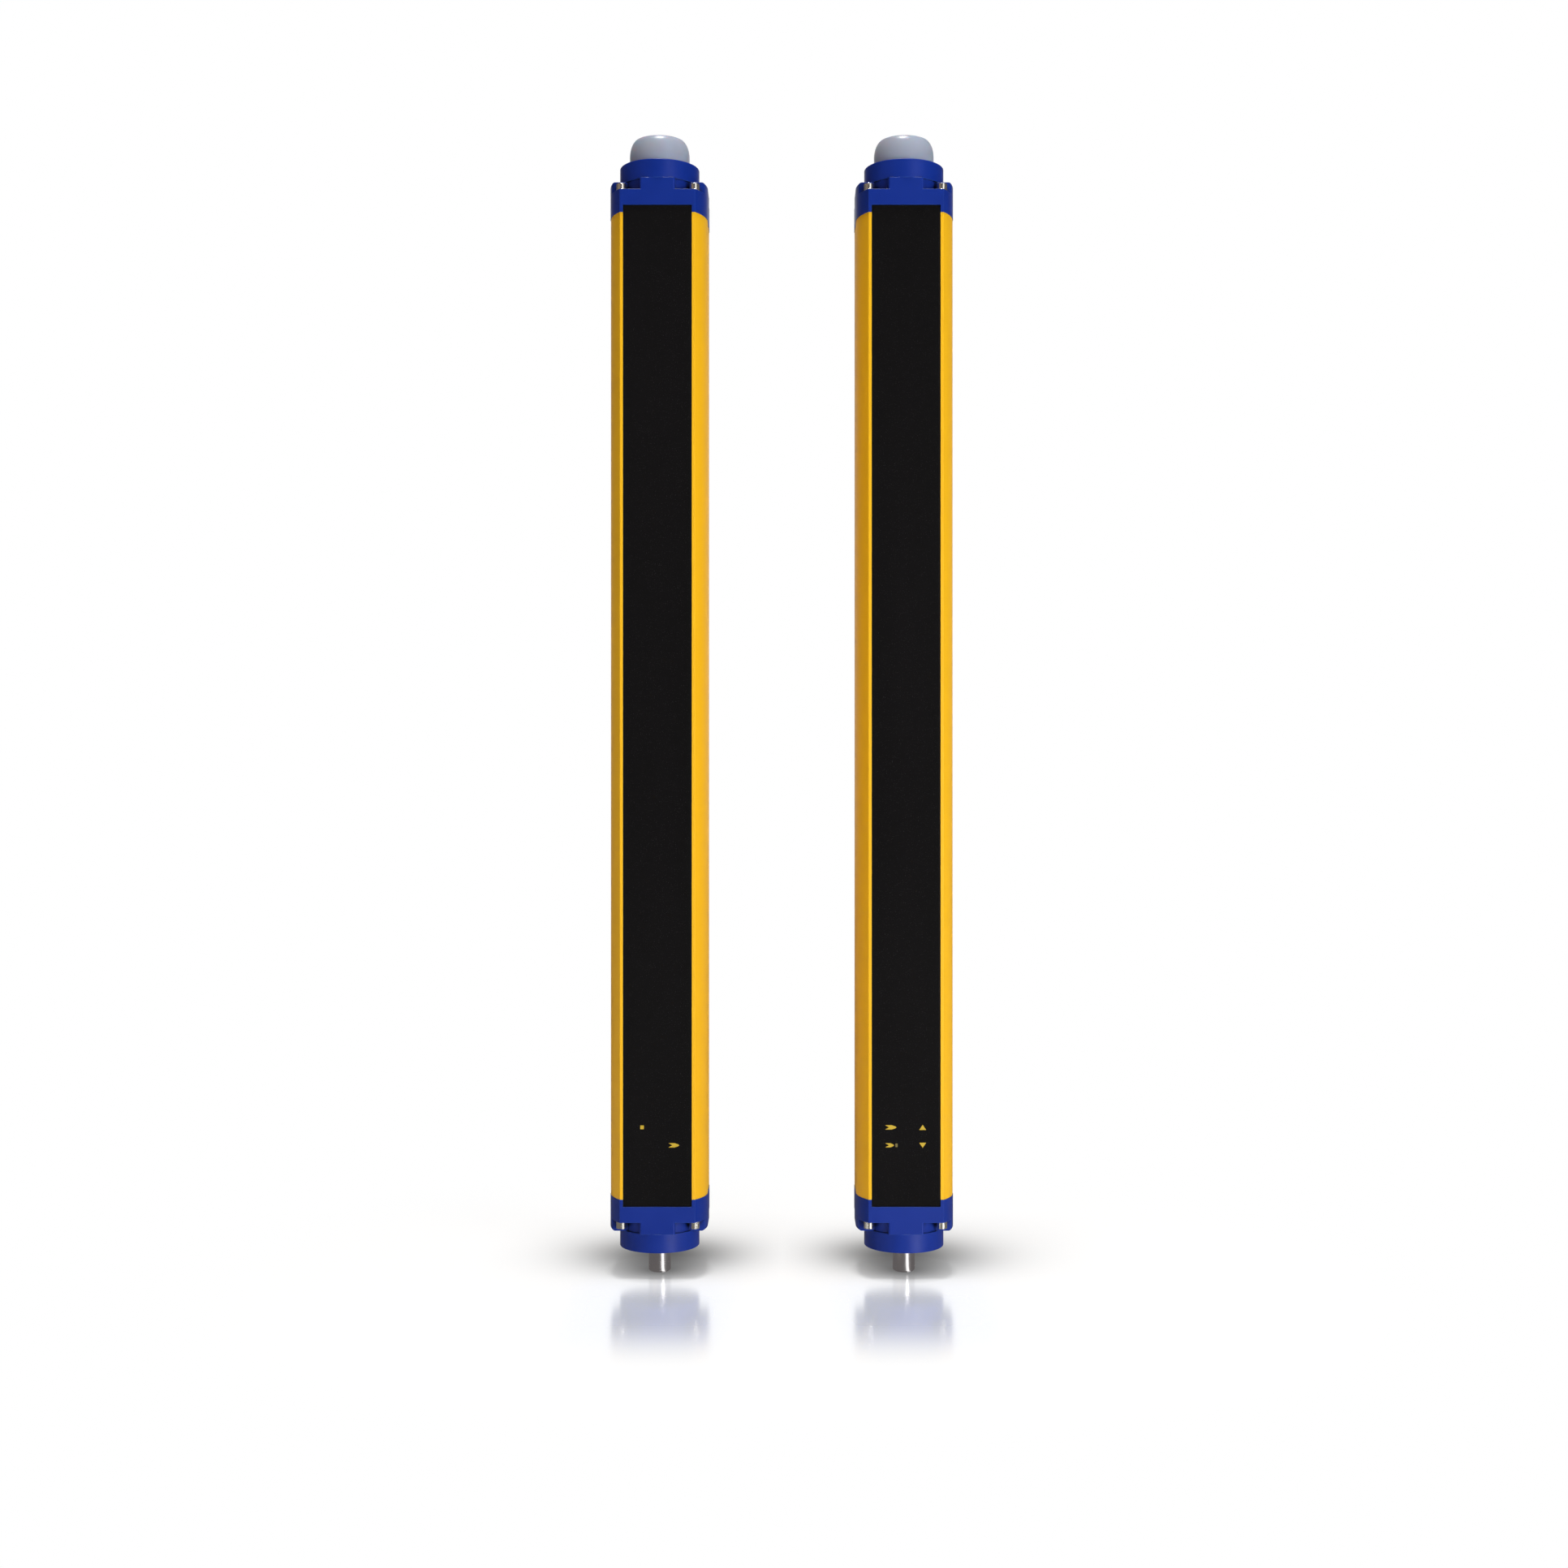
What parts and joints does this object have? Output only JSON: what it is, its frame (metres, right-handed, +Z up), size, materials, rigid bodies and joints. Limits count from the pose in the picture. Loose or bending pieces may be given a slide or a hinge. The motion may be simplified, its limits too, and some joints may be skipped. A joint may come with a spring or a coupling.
{
  "type": "safety light curtain",
  "caption": "Safety light curtain for machine guarding: upright emitter and receiver columns with black windows, blue end caps, lamp domes and round plugs.",
  "frame": {"origin": "midway between the two columns' axes, level with the lower ends of the plugs", "axes": "+Z up along the columns, -Y towards the front windows, +X from the emitter to the receiver"},
  "size_m": [0.1844, 0.0428, 0.6113],
  "materials": {
    "yellow_coating": "yellow powder coat on extruded aluminium, satin gloss",
    "black_window": "infrared-clear black acrylic, polished",
    "blue_moulding": "moulded polyamide, fine satin",
    "milky_dome": "milky polycarbonate, smooth",
    "plated_metal": "nickel plated brass",
    "screw_steel": "stainless steel, bright",
    "black_moulding": "black moulded plastic",
    "black_rubber": "soft black rubber",
    "green_board": "solder mask over glass-fibre board",
    "clear_acrylic": "clear moulded acrylic",
    "white_component": "small white lamp bodies",
    "gold_contacts": "gold plated contact pins",
    "grey_lead": "grey insulated lead"
  },
  "bodies": {
    "root": {"emitter_profile": "yellow_coating", "emitter_window": "black_window", "emitter_window_seal": "black_rubber", "emitter_optics_carrier": "black_moulding", "emitter_lenses": "clear_acrylic", "emitter_optics_board": "green_board", "emitter_light_pipes": "clear_acrylic", "emitter_indicator_leds": "white_component", "emitter_control_board": "green_board", "emitter_board_spacers": "plated_metal", "emitter_board_header": "black_moulding", "emitter_board_chips": "black_moulding", "emitter_upper_cap": "blue_moulding", "emitter_upper_gasket": "black_rubber", "emitter_upper_screws": "screw_steel", "emitter_lamp_dome": "milky_dome", "emitter_dome_seal": "black_rubber", "emitter_lamp_board": "green_board", "emitter_lamp_leds": "white_component", "emitter_lamp_lead": "grey_lead", "emitter_lower_cap": "blue_moulding", "emitter_lower_gasket": "black_rubber", "emitter_lower_screws": "screw_steel", "emitter_plug_shell": "plated_metal", "emitter_plug_insert": "black_moulding", "emitter_plug_pins": "gold_contacts", "emitter_plug_seal": "black_rubber", "emitter_plug_nut": "plated_metal", "emitter_plug_lead": "grey_lead", "emitter_diodes": "clear_acrylic", "receiver_profile": "yellow_coating", "receiver_window": "black_window", "receiver_window_seal": "black_rubber", "receiver_optics_carrier": "black_moulding", "receiver_lenses": "clear_acrylic", "receiver_optics_board": "green_board", "receiver_light_pipes": "clear_acrylic", "receiver_indicator_leds": "white_component", "receiver_control_board": "green_board", "receiver_board_spacers": "plated_metal", "receiver_board_header": "black_moulding", "receiver_board_chips": "black_moulding", "receiver_upper_cap": "blue_moulding", "receiver_upper_gasket": "black_rubber", "receiver_upper_screws": "screw_steel", "receiver_lamp_dome": "milky_dome", "receiver_dome_seal": "black_rubber", "receiver_lamp_board": "green_board", "receiver_lamp_leds": "white_component", "receiver_lamp_lead": "grey_lead", "receiver_lower_cap": "blue_moulding", "receiver_lower_gasket": "black_rubber", "receiver_lower_screws": "screw_steel", "receiver_plug_shell": "plated_metal", "receiver_plug_insert": "black_moulding", "receiver_plug_pins": "gold_contacts", "receiver_plug_seal": "black_rubber", "receiver_plug_nut": "plated_metal", "receiver_plug_lead": "grey_lead", "receiver_photodiodes": "black_moulding"}
  },
  "joints": []
}
